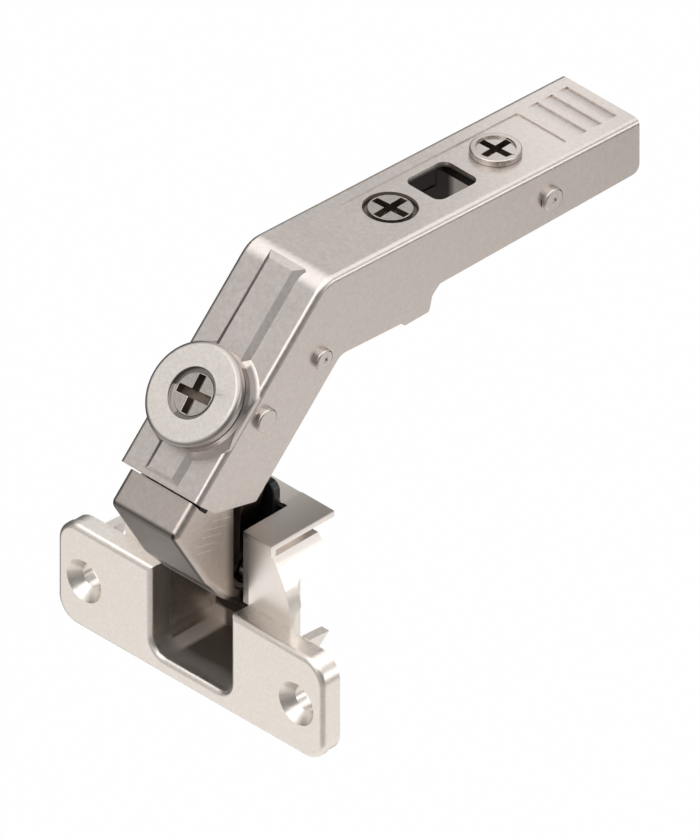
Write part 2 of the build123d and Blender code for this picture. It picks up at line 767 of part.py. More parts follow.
def make_channel():
    """Mounting channel: an inner folded sheet that slides in the arm and clips on a base."""
    drop = arm_sheet + channel_top_gap
    half = arm_half_width - arm_sheet - side_gap
    top = [(channel_start_y, upper_top(channel_start_y) - drop), (channel_end_y, upper_top(channel_end_y) - drop)]
    bottom = [
        (channel_end_y, channel_bottom_z + 0.3),
        (arm_heel_rear_y + 2.6, channel_bottom_z + 0.3),
        (arm_heel_rear_y + 0.4, channel_bottom_z - 2.0),
        (arm_heel_rear_y - 0.3, arm_heel_z + 0.3),
        (channel_start_y + 2.0, arm_front_bottom_z + 0.4),
    ]
    radii = [1.0, 0.6, 1.2, 0.8, 0.6, 0.5, 1.5]
    blank = side_prism(top + bottom, -half, half, radii)
    inner = half - channel_sheet
    hollow = [
        (channel_start_y - 5, upper_top(channel_start_y - 5) - drop - channel_sheet),
        (channel_end_y + 5, upper_top(channel_end_y + 5) - drop - channel_sheet),
        (channel_end_y + 5, 30.0),
        (channel_start_y - 5, 30.0),
    ]
    channel = blank - side_prism(hollow, -inner, inner)
    hook_top = arm_heel_z + channel_hook_depth
    channel -= box_between(-10, 10, channel_hook_y - channel_hook_width / 2,
                           channel_hook_y + channel_hook_width / 2, 30, hook_top)
    screw_plane = upper_plane(side_screw_y)
    slot_reach = 2 * (side_shank_radius + depth_travel + side_gap)
    slot_width = 2 * (side_shank_radius + side_gap)
    channel -= extrude(screw_plane * RectangleRounded(slot_width, slot_reach, slot_width / 2 - 0.01), -6)
    cam_plane = upper_plane(depth_cam_y)
    cam_slot = Rectangle(2 * (depth_pin_radius + depth_cam_offset + side_gap), 2 * (depth_pin_radius + 0.25))
    channel -= extrude(cam_plane * cam_slot, -6)
    view_slot = upper_plane(window_y) * (Pos(-1.6, 0) * RectangleRounded(window_width + 1, window_length + 2, 1.2))
    channel -= extrude(view_slot, -6)
    spring_room = upper_plane(lever_pivot[0] + 2.7) * RectangleRounded(11.0, 10.6, 0.8)
    channel -= extrude(spring_room, -6)
    channel -= cross_bar(lever_pivot, arm_pin_radius, -10, 10)
    return channel


def make_clip_lever():
    """Release lever at the arm's end: two cheeks, a thumb web and a latch nose."""
    y0, z0 = lever_pivot
    outline = [
        (y0 - 2.4, z0 - 1.0),
        (y0 - 2.4, z0 + 0.9),
        (y0, z0 + 2.0),
        (y0 + 3.0, z0 + 0.7),
        (clip_tail_y - 3, z0 - 1.8),
        (clip_tail_y, z0 - 2.4),
        (clip_tail_y, z0 - 3.6),
        (y0 + 5.5, z0 - 3.6),
        (y0 + 3.6, z0 - 6.2),
        (y0 + 0.4, z0 - 5.4),
        (y0 + 1.2, z0 - 3.2),
    ]
    radii = [0.6, 0.8, 1.0, 0.8, 1.0, 0.8, 0.5, 0.8, 0.6, 0.4, 0.6]
    blank = side_prism(outline, -clip_half_width, clip_half_width, radii)
    inner = clip_half_width - clip_sheet
    room = [
        (y0 - 5, z0 + 5),
        (y0 - 5, z0 - 9),
        (y0 + 5.6, z0 - 9),
        (y0 + 5.6, z0 - 2.2),
        (y0 + 8.0, z0 - 2.2),
        (clip_tail_y - 4.0, z0 - 2.4),
        (clip_tail_y - 4.0, z0 + 5),
    ]
    lever = blank - side_prism(room, -inner, inner)
    return lever - cross_bar(lever_pivot, arm_pin_radius + running_gap, -10, 10)


def make_spring():
    """Torsion spring round the lever pin, with both legs towards the lever's tail."""
    pitch = spring_wire * 1.35
    height = pitch * spring_turns
    y0, z0 = lever_pivot
    path = Helix(pitch=pitch, height=height, radius=spring_radius)
    section = Plane(origin=path @ 0, z_dir=path % 0) * Circle(spring_wire / 2)
    coil = Pos(-height / 2, y0, z0) * Rot(0, 90, 0) * sweep(section, path=path)
    coil = mirror(coil, about=Plane.XZ.offset(-y0))
    low_leg = (-height / 2, z0 - spring_radius)
    high_leg = (height / 2, z0 + spring_radius)
    for leg_x, leg_z in (low_leg, high_leg):
        leg = Plane(origin=(leg_x, y0, leg_z), x_dir=(1, 0, 0), z_dir=(0, 1, 0)) * Circle(spring_wire / 2)
        coil += extrude(leg, spring_leg)
    return coil


os.makedirs("parts", exist_ok=True)


def write(name, solids):
    """Write one node's solids as a STEP file."""
    if isinstance(solids, list):
        shape = Compound(children=[piece.solid() for piece in solids])
    else:
        found = solids.solids()
        shape = found[0] if len(found) == 1 else Compound(children=list(found))
    export_step(shape, f"parts/{name}.step")
    return shape


write("cup_housing", make_cup_housing())
write("outer_link_cup_pin", make_cup_pin(outer_cup_pivot))
write("inner_link_cup_pin", make_cup_pin(inner_cup_pivot))
write("inner_link_spacers", make_spacers())
write("stop_buffer", make_buffer())
write("outer_link", make_outer_link())
write("inner_link", make_inner_link())
write("hinge_arm", make_arm())
write("outer_link_arm_rivets", make_outer_arm_rivets())
write("inner_link_arm_rivet", through_rivet(inner_arm_pivot, inner_rivet_head_radius, arm_pin_radius, True))
write("adjuster_disc", make_disc())
write("adjuster_ring", make_retaining_ring())
write("stop_screw", make_stop_screw())
write("stop_pad", make_stop_pad())
write("side_screw", make_side_screw())
write("depth_cam", make_depth_cam())
write("depth_cam_washer", make_cam_washer())
write("mounting_channel", make_channel())
write("lever_rivet", through_rivet(lever_pivot, lever_rivet_head_radius, arm_pin_radius, True))
write("clip_lever", make_clip_lever())
write("lever_spring", make_spring())
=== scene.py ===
import json
import math
import bpy
import bmesh
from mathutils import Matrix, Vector


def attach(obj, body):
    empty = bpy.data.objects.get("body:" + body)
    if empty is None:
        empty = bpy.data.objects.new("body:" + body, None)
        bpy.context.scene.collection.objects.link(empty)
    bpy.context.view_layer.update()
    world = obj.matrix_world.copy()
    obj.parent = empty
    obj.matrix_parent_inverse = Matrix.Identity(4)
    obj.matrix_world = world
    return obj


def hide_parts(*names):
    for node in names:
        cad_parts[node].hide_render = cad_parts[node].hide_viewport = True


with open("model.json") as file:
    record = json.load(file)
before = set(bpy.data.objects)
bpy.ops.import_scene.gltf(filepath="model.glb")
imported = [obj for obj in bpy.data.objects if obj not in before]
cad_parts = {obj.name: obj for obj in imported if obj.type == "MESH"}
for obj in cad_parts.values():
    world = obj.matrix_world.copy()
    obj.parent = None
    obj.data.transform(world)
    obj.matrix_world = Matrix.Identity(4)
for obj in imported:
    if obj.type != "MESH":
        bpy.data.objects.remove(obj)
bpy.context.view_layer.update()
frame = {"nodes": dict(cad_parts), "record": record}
mm = 0.001
print("hinge frame loaded")


# One wrapped socket, so that shader maths reads as plain arithmetic

class Value:
    def __init__(self, graph, link):
        self.graph = graph
        self.link = link

    def math(self, operation, other=None):
        inputs = {0: self} if other is None else {0: self, 1: other}
        return self.graph.node("ShaderNodeMath", {"operation": operation}, inputs)

    def __add__(self, other):
        return self.math("ADD", other)

    def __sub__(self, other):
        return self.math("SUBTRACT", other)

    def __rsub__(self, other):
        return self.graph.node("ShaderNodeMath", {"operation": "SUBTRACT"}, {0: other, 1: self})

    def __mul__(self, other):
        return self.math("MULTIPLY", other)

    def clamp(self):
        return self.graph.node("ShaderNodeClamp", {}, {0: self, 1: 0.0, 2: 1.0})


class Graph:
    def __init__(self, tree):
        self.tree = tree

    def plug(self, socket, value):
        if isinstance(value, Value):
            self.tree.links.new(value.link, socket)
        else:
            socket.default_value = value

    def node(self, kind, settings, values, output=0):
        made = self.tree.nodes.new(kind)
        for name, setting in settings.items():
            setattr(made, name, setting)
        for key, value in values.items():
            self.plug(made.inputs[key], value)
        return Value(self, made.outputs[output])

    def ramp(self, value, low, high, smooth=False):
        kind = "SMOOTHSTEP" if smooth else "LINEAR"
        return self.node(
            "ShaderNodeMapRange",
            {"interpolation_type": kind},
            {"Value": value, "From Min": low, "From Max": high},
        )

    def blend(self, factor, first, second):
        return self.node("ShaderNodeMix", {"data_type": "RGBA"}, {0: factor, 6: first, 7: second}, 2)

    def dot(self, place, direction):
        return self.node("ShaderNodeVectorMath", {"operation": "DOT_PRODUCT"}, {0: place, 1: direction}, 1)


class Finish(Graph):
    def __init__(self, name):
        self.material = bpy.data.materials.new(name)
        self.material.use_nodes = True
        super().__init__(self.material.node_tree)
        self.shader = self.tree.nodes["Principled BSDF"]
        self.place = self.node("ShaderNodeTexCoord", {}, {}, "Object")

    def coordinates(self):
        split = self.node("ShaderNodeSeparateXYZ", {}, {0: self.place}).link.node
        return [Value(self, split.outputs[i]) for i in range(3)]

    def noise(self, scale, detail=3.0, rough=0.55):
        return self.node(
            "ShaderNodeTexNoise",
            {},
            {"Vector": self.place, "Scale": scale, "Detail": detail, "Roughness": rough},
        )

    def set(self, **values):
        for name, value in values.items():
            self.plug(self.shader.inputs[name.replace("_", " ")], value)

    def bump(self, height, strength, distance):
        made = self.node("ShaderNodeBump", {}, {"Strength": strength, "Distance": distance, "Height": height})
        self.plug(self.shader.inputs["Normal"], made)


def shade(red, green, blue):
    return (red, green, blue, 1.0)


# Satin nickel: warm grey metal with a fine speckle and faint clouds

nickel = {
    "sheet": {"colour": (0.70, 0.645, 0.61), "rough": 0.33, "grain": 1400, "speckle": 0.10},
    "casting": {"colour": (0.96, 0.885, 0.83), "rough": 0.34, "grain": 1900, "speckle": 0.09},
    "link": {"colour": (0.58, 0.52, 0.48), "rough": 0.32, "grain": 1400, "speckle": 0.10},
    # The channel's darker colour is painted shade, as it lies inside the arm
    "channel": {"colour": (0.40, 0.36, 0.33), "rough": 0.38, "grain": 1400, "speckle": 0.10},
    "pin": {"colour": (0.66, 0.61, 0.58), "rough": 0.28, "grain": 1500, "speckle": 0.08},
    "screw": {"colour": (0.60, 0.555, 0.52), "rough": 0.27, "grain": 1500, "speckle": 0.10},
    # The recess colour is painted shade for the sunk driver recesses
    "recess": {"colour": (0.21, 0.17, 0.14), "rough": 0.45, "grain": 1200, "speckle": 0.30},
    "wire": {"colour": (0.46, 0.44, 0.42), "rough": 0.30, "grain": 1800, "speckle": 0.08},
}
speckle = {"detail": 5.0, "rough": 0.65, "low": 0.3, "high": 0.7, "share": 0.85, "roughShare": 0.06}
clouds = {"scale": 110, "detail": 3.0, "share": 0.15, "roughShare": 0.02}
satin = {"roughDrop": 0.04, "dullRough": 0.12, "bump": 0.10, "bumpDepth": 0.03 * mm}


# A mask gives where it lies, the colour there, and how much of the metal's gloss it takes away

def makeNickel(name, look, masks=()):
    finish = Finish(name)
    spread = look["speckle"]
    speck = finish.ramp(
        finish.noise(look["grain"], speckle["detail"], speckle["rough"]), speckle["low"], speckle["high"]
    )
    cloud = finish.ramp(finish.noise(clouds["scale"], clouds["detail"]), speckle["low"], speckle["high"])
    dark = shade(*[part * (1 - spread) for part in look["colour"]])
    light = shade(*[min(part * (1 + spread), 1) for part in look["colour"]])
    colour = finish.blend((speck * speckle["share"] + cloud * clouds["share"]).clamp(), dark, light)
    metallic = 1.0
    smoothest = look["rough"] - satin["roughDrop"]
    rough = speck * speckle["roughShare"] + cloud * clouds["roughShare"] + smoothest
    for mask in masks:
        amount, tint, dull = mask(finish)
        colour = finish.blend(amount, colour, shade(*tint))
        if dull:
            metallic = 1.0 - amount * dull
            rough = rough + amount * satin["dullRough"]
    finish.set(Base_Color=colour, Metallic=metallic, Roughness=rough.clamp())
    finish.bump(speck, satin["bump"], satin["bumpDepth"])
    return finish.material


# Painted shade: the cup's pocket is coloured dark brown, and made duller, more so with depth

pocket = {
    "tint": (0.17, 0.138, 0.113), "dull": 0.55,
    "halfWidth": 7.65 * mm, "sideFade": 0.1 * mm,
    "notch": 8.55 * mm, "notchFrom": 0.4 * mm, "notchTo": 0.2 * mm,
    "front": -2.4 * mm, "depth": 5 * mm, "wobble": 2 * mm, "wobbleScale": 90, "wobbleDetail": 2.0,
    "back": 11.6 * mm, "backFade": 0.4 * mm, "low": -6.5 * mm, "lowFade": 0.2 * mm,
    "floor": 21.2 * mm, "floorFade": 0.5 * mm,
}


def pocketShadeMask(finish):
    x, y, z = finish.coordinates()
    across = x.math("ABSOLUTE")
    narrow = finish.ramp(across, pocket["halfWidth"] + pocket["sideFade"], pocket["halfWidth"])
    wide = finish.ramp(across, pocket["notch"] + pocket["sideFade"], pocket["notch"]) * finish.ramp(
        y, pocket["notchFrom"], pocket["notchTo"]
    )
    inside = narrow.math("MAXIMUM", wide)
    shut = finish.ramp(y, pocket["back"] + pocket["backFade"], pocket["back"]) * finish.ramp(
        z, pocket["low"] - pocket["lowFade"], pocket["low"]
    )
    wobble = finish.noise(pocket["wobbleScale"], pocket["wobbleDetail"]) * pocket["wobble"]
    deep = finish.ramp(y + wobble, pocket["front"], pocket["front"] + pocket["depth"])
    below = finish.ramp(z, pocket["floor"], pocket["floor"] - pocket["floorFade"])
    return (inside * deep * below * shut).clamp(), pocket["tint"], pocket["dull"]


# Painted highlight: the pocket's rounded lower corner on the left is coloured lighter than its walls, as it
# catches more light

pocketCorner = {
    "tint": (0.80, 0.72, 0.65),
    "left": -7.9 * mm, "leftFade": 0.4 * mm, "right": -6.0 * mm, "rightFade": 0.8 * mm,
    "top": -3.4 * mm, "topFade": 0.6 * mm, "front": -2.0 * mm, "back": 0.5 * mm,
}


def cornerHighlightMask(finish):
    x, y, z = finish.coordinates()
    beside = finish.ramp(x, pocketCorner["left"] - pocketCorner["leftFade"], pocketCorner["left"])
    before = finish.ramp(x, pocketCorner["right"] + pocketCorner["rightFade"], pocketCorner["right"])
    under = finish.ramp(z, pocketCorner["top"] + pocketCorner["topFade"], pocketCorner["top"])
    deep = finish.ramp(y, pocketCorner["front"], pocketCorner["back"])
    return (beside * before * under * deep).clamp(), pocketCorner["tint"], 0.0


# Painted shade and light: the plate over the door's edge is coloured darker than the flange, and the cup's
# front face lighter, as light falls on them

plateTop = {"tint": (0.68, 0.63, 0.59), "above": 22.0 * mm, "fade": 0.2 * mm}
cupFront = {"tint": (1.0, 0.95, 0.90), "above": 9.4 * mm, "before": 12.0 * mm, "fade": 0.4 * mm}


def plateShadeMask(finish):
    x, y, z = finish.coordinates()
    return finish.ramp(z, plateTop["above"], plateTop["above"] + plateTop["fade"]), plateTop["tint"], 0.0


def frontLightMask(finish):
    x, y, z = finish.coordinates()
    high = finish.ramp(z, cupFront["above"], cupFront["above"] + cupFront["fade"])
    low = finish.ramp(z, plateTop["above"], plateTop["above"] - cupFront["fade"])
    deep = finish.ramp(y, cupFront["before"], cupFront["before"] - cupFront["fade"])
    return high * low * deep, cupFront["tint"], 0.0


# Painted shade: the link's front plate faces down and is coloured darker, and a fine dark line beside its
# right side plate is a painted shadow of the gap there

frontPlate = {
    "normal": (0.0, -0.8655, -0.5005), "height": -1.49 * mm, "from": 0.9 * mm, "to": 0.5 * mm,
    "tint": (0.17, 0.152, 0.139), "halfWidth": 6.5 * mm, "sideFade": 0.15 * mm,
}
seam = {"tint": (0.05, 0.045, 0.04), "at": 6.2 * mm, "half": 0.16 * mm, "fade": 0.05 * mm}


def onFrontPlate(finish):
    height = finish.dot(finish.place, frontPlate["normal"])
    top = frontPlate["height"]
    return finish.ramp(height, top - frontPlate["from"], top - frontPlate["to"])


def frontPlateShadeMask(finish):
    x, y, z = finish.coordinates()
    inside = finish.ramp(
        x.math("ABSOLUTE"), frontPlate["halfWidth"] + frontPlate["sideFade"], frontPlate["halfWidth"]
    )
    return (onFrontPlate(finish) * inside).clamp(), frontPlate["tint"], 0.0


# Painted shadow: a thin dark line where the gap between the front plate and the right side plate lies
def seamShadowMask(finish):
    x, y, z = finish.coordinates()
    away = (x - seam["at"]).math("ABSOLUTE")
    line = finish.ramp(away, seam["half"] + seam["fade"], seam["half"])
    return (onFrontPlate(finish) * line).clamp(), seam["tint"], 0.0


# Five fine slanting scratches on the link's right side plate, each from one Y, Z place to another, in mm

scratches = (
    ((-6.2, 26.9), (-1.9, 25.7)),
    ((-7.4, 25.9), (-2.8, 24.6)),
    ((-8.3, 24.8), (-3.6, 23.6)),
    ((-9.6, 23.7), (-4.9, 22.6)),
    ((-9.6, 22.5), (-5.6, 21.5)),
)
scratch = {
    "tint": (0.92, 0.86, 0.81), "strength": 0.55, "half": 0.07 * mm, "outer": 1.5, "inner": 0.5,
    "start": 0.3 * mm, "end": 0.5 * mm, "depth": 6.6 * mm, "fade": 0.1 * mm,
}


def scratchMask(finish):
    x, y, z = finish.coordinates()
    total = 0.0
    for (startY, startZ), (endY, endZ) in scratches:
        length = math.hypot(endY - startY, endZ - startZ)
        unitY, unitZ = (endY - startY) / length, (endZ - startZ) / length
        along = y * unitY + z * unitZ - (startY * unitY + startZ * unitZ) * mm
        off = (y * -unitZ + z * unitY - (startZ * unitY - startY * unitZ) * mm).math("ABSOLUTE")
        line = finish.ramp(off, scratch["half"] * scratch["outer"], scratch["half"] * scratch["inner"])
        ends = finish.ramp(along, 0.0, scratch["start"]) * finish.ramp(
            along, length * mm, length * mm - scratch["end"]
        )
        total = line * ends + total
    outside = finish.ramp(x, scratch["depth"], scratch["depth"] + scratch["fade"])
    return (total * outside * scratch["strength"]).clamp(), scratch["tint"], 0.0


# Painted shade: inside the cup the inner link is coloured dark, and so is the rear edge of the outer link's
# side plates, as both lie in shade

lowDark = {"tint": (0.13, 0.11, 0.095), "from": 27.0 * mm, "to": 22.0 * mm}
rearDark = {
    "tint": (0.10, 0.085, 0.075), "strength": 0.85, "from": -3.6 * mm, "to": -1.5 * mm,
    "below": 30.0 * mm, "fade": 4 * mm,
}


def lowShadeMask(finish):
    x, y, z = finish.coordinates()
    return finish.ramp(z, lowDark["from"], lowDark["to"]), lowDark["tint"], 0.0


# Painted shade on the rear edge of the outer link's side plates, near the cup
def rearShadeMask(finish):
    x, y, z = finish.coordinates()
    rear = finish.ramp(y, rearDark["from"], rearDark["to"], True)
    below = finish.ramp(z, rearDark["below"], rearDark["below"] - rearDark["fade"])
    return (rear * below * rearDark["strength"]).clamp(), rearDark["tint"], 0.0


# Painted shade: the channel is coloured nearly black, and made duller, where the arm's window shows it

window = {"tint": (0.028, 0.022, 0.02), "dull": 0.4, "at": 49.6 * mm, "half": 7.0 * mm, "fade": 1.5 * mm}


def windowShadeMask(finish):
    x, y, z = finish.coordinates()
    away = (y - window["at"]).math("ABSOLUTE")
    return finish.ramp(away, window["half"] + window["fade"], window["half"]), window["tint"], window["dull"]


# Painted shade: the arm is coloured dark, and made duller, inside, below its two top faces and between its
# walls

diagonal = 0.70711
armTilt = (0.04924, 0.998787)
armEnd = (83.2, 56.7)
slopeFace = {"normal": (0.0, -diagonal, diagonal), "height": 43.3 * diagonal * mm}
upperFace = {
    "normal": (0.0, armTilt[0], armTilt[1]),
    "height": (armTilt[0] * armEnd[0] + armTilt[1] * armEnd[1]) * mm,
}
hollow = {
    "tint": (0.14, 0.115, 0.10), "dull": 0.4, "halfWidth": 7.17 * mm, "sideFade": 0.05 * mm,
    "below": -0.55 * mm, "fade": 0.3 * mm,
}


def aboveFace(finish, face):
    return finish.dot(finish.place, face["normal"]) - face["height"]


def hollowShadeMask(finish):
    x, y, z = finish.coordinates()
    top = aboveFace(finish, slopeFace).math("MAXIMUM", aboveFace(finish, upperFace))
    under = finish.ramp(top, hollow["below"], hollow["below"] - hollow["fade"])
    inside = finish.ramp(x.math("ABSOLUTE"), hollow["halfWidth"] + hollow["sideFade"], hollow["halfWidth"])
    return (under * inside).clamp(), hollow["tint"], hollow["dull"]


# Painted shade round the disc: its rim and sunk ring are coloured darker than its face, and so is the arm's
# drawn collar

discFoot = (0.0, -0.55, 42.75)
upSlope = (0.0, diagonal, diagonal)
discRim = {"tint": (0.46, 0.425, 0.40), "radius": 7.55 * mm, "fade": 0.4 * mm}
discRing = {
    "tint": (0.26, 0.235, 0.215), "radius": 4.35 * mm, "fade": 0.1 * mm,
    "top": 4.1 * mm, "from": 0.05 * mm, "to": 0.25 * mm,
}
collar = {
    "tint": (0.25, 0.225, 0.21), "radius": 8.25 * mm, "from": 3.6 * mm, "to": 3.0 * mm,
    "low": 0.08 * mm, "high": 0.5 * mm, "down": -4.0 * mm, "up": 1.0 * mm,
    "left": 3.95 * mm, "right": 4.4 * mm,
}


def aroundDisc(finish):
    x, y, z = finish.coordinates()
    along = finish.dot(finish.place, upSlope) - (discFoot[1] + discFoot[2]) * diagonal * mm
    return (x * x + along * along).math("SQRT"), aboveFace(finish, slopeFace), along, x


def rimShadeMask(finish):
    radius, height, along, x = aroundDisc(finish)
    outside = finish.ramp(radius, discRim["radius"], discRim["radius"] + discRim["fade"], True)
    return outside, discRim["tint"], 0.0


def ringShadeMask(finish):
    radius, height, along, x = aroundDisc(finish)
    within = finish.ramp(radius, discRing["radius"], discRing["radius"] - discRing["fade"])
    sunk = finish.ramp(height, discRing["top"] - discRing["from"], discRing["top"] - discRing["to"])
    return (within * sunk).clamp(), discRing["tint"], 0.0


def collarShadeMask(finish):
    radius, height, along, x = aroundDisc(finish)
    within = finish.ramp(radius, collar["radius"] + collar["from"], collar["radius"] + collar["to"])
    raised = finish.ramp(height, collar["low"], collar["high"], True)
    above = finish.ramp(along, collar["down"], collar["up"], True)
    beside = finish.ramp(x, collar["left"], collar["right"])
    return (within * raised * above * beside).clamp(), collar["tint"], 0.0


# Black plastic with soft clouds and a fine grain

plastic = {
    "dark": (0.012, 0.013, 0.015), "light": (0.03, 0.032, 0.036),
    "clouds": 700, "cloudDetail": 3.0, "rough": 0.28, "roughSpread": 0.15,
    "grain": 2500, "grainDetail": 2.0, "bump": 0.15, "bumpDepth": 0.02 * mm,
}


def makePlastic():
    finish = Finish("black_plastic")
    cloud = finish.noise(plastic["clouds"], plastic["cloudDetail"])
    finish.set(
        Base_Color=finish.blend(cloud, shade(*plastic["dark"]), shade(*plastic["light"])),
        Metallic=0.0,
        Roughness=(cloud * plastic["roughSpread"] + plastic["rough"]).clamp(),
    )
    finish.bump(finish.noise(plastic["grain"], plastic["grainDetail"]), plastic["bump"], plastic["bumpDepth"])
    return finish.material


finishes = {
    "pin": makeNickel("nickel_pin", nickel["pin"]),
    "screw": makeNickel("nickel_screw", nickel["screw"]),
    "recess": makeNickel("nickel_recess_shade", nickel["recess"]),
    "wire": makeNickel("nickel_wire", nickel["wire"]),
    "lever": makeNickel("nickel_link", nickel["link"]),
    "disc": makeNickel("nickel_disc", nickel["casting"], (rimShadeMask, ringShadeMask)),
    "cup": makeNickel("nickel_cup", nickel["casting"], (plateShadeMask, frontLightMask, pocketShadeMask, cornerHighlightMask)),
    "arm": makeNickel("nickel_arm", nickel["sheet"], (collarShadeMask, hollowShadeMask)),
    "outerLink": makeNickel(
        "nickel_outer_link", nickel["link"], (rearShadeMask, frontPlateShadeMask, seamShadowMask, scratchMask)
    ),
    "innerLink": makeNickel("nickel_inner_link", nickel["link"], (lowShadeMask,)),
    "channel": makeNickel("nickel_channel", nickel["channel"], (windowShadeMask,)),
    "plastic": makePlastic(),
}
print("finishes made")


# Every node stays as packed; a copy with fine rounded edges, whose width is in mm, is what shows

dressing = {
    "cup_housing": {"finish": "cup", "slot": "nickel_casting", "edge": 0.14},
    "outer_link_cup_pin": {"finish": "pin", "slot": "nickel_pin", "edge": 0.0},
    "inner_link_cup_pin": {"finish": "pin", "slot": "nickel_pin", "edge": 0.0},
    "inner_link_spacers": {"finish": "pin", "slot": "nickel_pin", "edge": 0.0},
    "stop_buffer": {"finish": "plastic", "slot": "black_plastic", "edge": 0.18},
    "outer_link": {"finish": "outerLink", "slot": "nickel_link", "edge": 0.12},
    "inner_link": {"finish": "innerLink", "slot": "nickel_link", "edge": 0.12},
    "hinge_arm": {"finish": "arm", "slot": "nickel_sheet", "edge": 0.14},
    "outer_link_arm_rivets": {"finish": "pin", "slot": "nickel_pin", "edge": 0.0},
    "inner_link_arm_rivet": {"finish": "pin", "slot": "nickel_pin", "edge": 0.0},
    "adjuster_disc": {"finish": "disc", "slot": "nickel_casting", "edge": 0.0},
    "adjuster_ring": {"finish": "pin", "slot": "nickel_pin", "edge": 0.0},
    "stop_screw": {"finish": "screw", "slot": "nickel_screw", "edge": 0.08},
    "stop_pad": {"finish": "plastic", "slot": "black_plastic", "edge": 0.0},
    "side_screw": {"finish": "screw", "slot": "nickel_screw", "edge": 0.08},
    "depth_cam": {"finish": "screw", "slot": "nickel_screw", "edge": 0.08},
    "depth_cam_washer": {"finish": "pin", "slot": "nickel_pin", "edge": 0.0},
    "mounting_channel": {"finish": "channel", "slot": "nickel_sheet", "edge": 0.12},
    "lever_rivet": {"finish": "pin", "slot": "nickel_pin", "edge": 0.0},
    "clip_lever": {"finish": "lever", "slot": "nickel_sheet", "edge": 0.12},
    "lever_spring": {"finish": "wire", "slot": "spring_wire", "edge": 0.0},
}
bodyOf = {
    nodeName: bodyName
    for bodyName, nodeNames in frame["record"]["behaviour"]["bodies"].items()
    for nodeName in nodeNames
}


# Driver recesses: each screw's place in mm, the height of its head, and how much wider its recess is drawn

recess = {
    "stop_screw": {"at": discFoot, "normal": slopeFace["normal"], "top": 3.55, "grow": 1.12},
    "side_screw": {"at": (0, 38.7, 58.8939), "normal": upperFace["normal"], "top": -0.25, "grow": 1.12},
    "depth_cam": {"at": (0, 61.0, 57.7945), "normal": upperFace["normal"], "top": 0.45, "grow": 1.04},
}
recessForm = {"depth": 1.7, "within": 1.75, "below": 0.03, "near": 0.02, "reach": 2.95}


def fromHead(point, place):
    normal = Vector(place["normal"])
    offset = point / mm - Vector(place["at"])
    height = offset.dot(normal)
    return height, offset - normal * height


def growRecess(mesh, place):
    for vertex in mesh.verts:
        height, sideways = fromHead(vertex.co, place)
        onTop = abs(height - place["top"]) < recessForm["near"]
        onFloor = abs(height - place["top"] + recessForm["depth"]) < recessForm["near"]
        if (onTop or onFloor) and sideways.length < recessForm["reach"]:
            vertex.co += sideways * (place["grow"] - 1) * mm


# Painted shade: faces sunk in a driver recess take the dark recess finish
def paintRecessShade(data, place):
    for face in data.polygons:
        height, sideways = fromHead(face.center, place)
        sunk = place["top"] - recessForm["within"] < height < place["top"] - recessForm["below"]
        if sunk and sideways.length < recessForm["reach"] * place["grow"]:
            face.material_index = 1


# In mm: the bead's top is drawn in and lowered, so that both slanting sides show, its base is
# spread, and the arm's low end comes down

bead = {
    "top": 1.1, "halfWidth": 2.95, "topEdge": 2.8, "inset": 0.45, "drop": 0.25, "near": 0.03,
    "baseFrom": 3.6, "baseTo": 3.75, "spread": 0.25, "end": 16.75, "ramp": 0.6,
}
lowEnd = {"below": 16.1, "deepest": -1.2, "highest": 0.1, "grow": 0.15}


def shapeBead(mesh):
    normal = Vector(slopeFace["normal"])
    uphill = Vector(upSlope)
    for vertex in mesh.verts:
        height = (vertex.co.dot(normal) - slopeFace["height"]) / mm
        along = vertex.co.dot(uphill) / mm
        across = abs(vertex.co.x) / mm
        if abs(height - bead["top"]) < bead["near"] and across < bead["halfWidth"]:
            vertex.co -= normal * bead["drop"] * mm
            if along < bead["end"]:
                vertex.co += uphill * bead["ramp"] * mm
            if across > bead["topEdge"]:
                vertex.co.x -= math.copysign(bead["inset"] * mm, vertex.co.x)
        if abs(height) < bead["near"] and bead["baseFrom"] < across < bead["baseTo"]:
            vertex.co.x += math.copysign(bead["spread"] * mm, vertex.co.x)
        if along < lowEnd["below"] and lowEnd["deepest"] < height < lowEnd["highest"]:
            vertex.co -= uphill * lowEnd["grow"] * mm


# A copy loses doubled points and flat edges, then its sharper edges are rounded; angles in degrees

cleaning = {"merge": 0.002 * mm, "flat": 0.6}
rounding = {"segments": 2, "sharper": 32, "smooth": 28}


def copyNode(name):
    mesh = bmesh.new()
    mesh.from_mesh(frame["nodes"][name].data)
    bmesh.ops.remove_doubles(mesh, verts=mesh.verts, dist=cleaning["merge"])
    bmesh.ops.dissolve_degenerate(mesh, dist=cleaning["merge"], edges=mesh.edges)
    bmesh.ops.dissolve_limit(
        mesh, angle_limit=math.radians(cleaning["flat"]), use_dissolve_boundaries=False,
        verts=mesh.verts, edges=mesh.edges, delimit={"NORMAL"},
    )
    if name == "hinge_arm":
        shapeBead(mesh)
    if name in recess:
        growRecess(mesh, recess[name])
    data = bpy.data.meshes.new(name + "_look")
    mesh.to_mesh(data)
    mesh.free()
    return data


def roundEdges(piece, width):
    bevel = piece.modifiers.new("edges", "BEVEL")
    bevel.width = width
    bevel.segments = rounding["segments"]
    bevel.limit_method = "ANGLE"
    bevel.angle_limit = math.radians(rounding["sharper"])
    bevel.use_clamp_overlap = True
    bevel.harden_normals = False


def smoothFaces(piece):
    for face in piece.data.polygons:
        face.use_smooth = True
    bpy.context.view_layer.objects.active = piece
    bpy.ops.object.select_all(action="DESELECT")
    piece.select_set(True)
    bpy.ops.object.shade_smooth_by_angle(angle=math.radians(rounding["smooth"]))
    weights = piece.modifiers.new("weights", "WEIGHTED_NORMAL")
    weights.keep_sharp = True


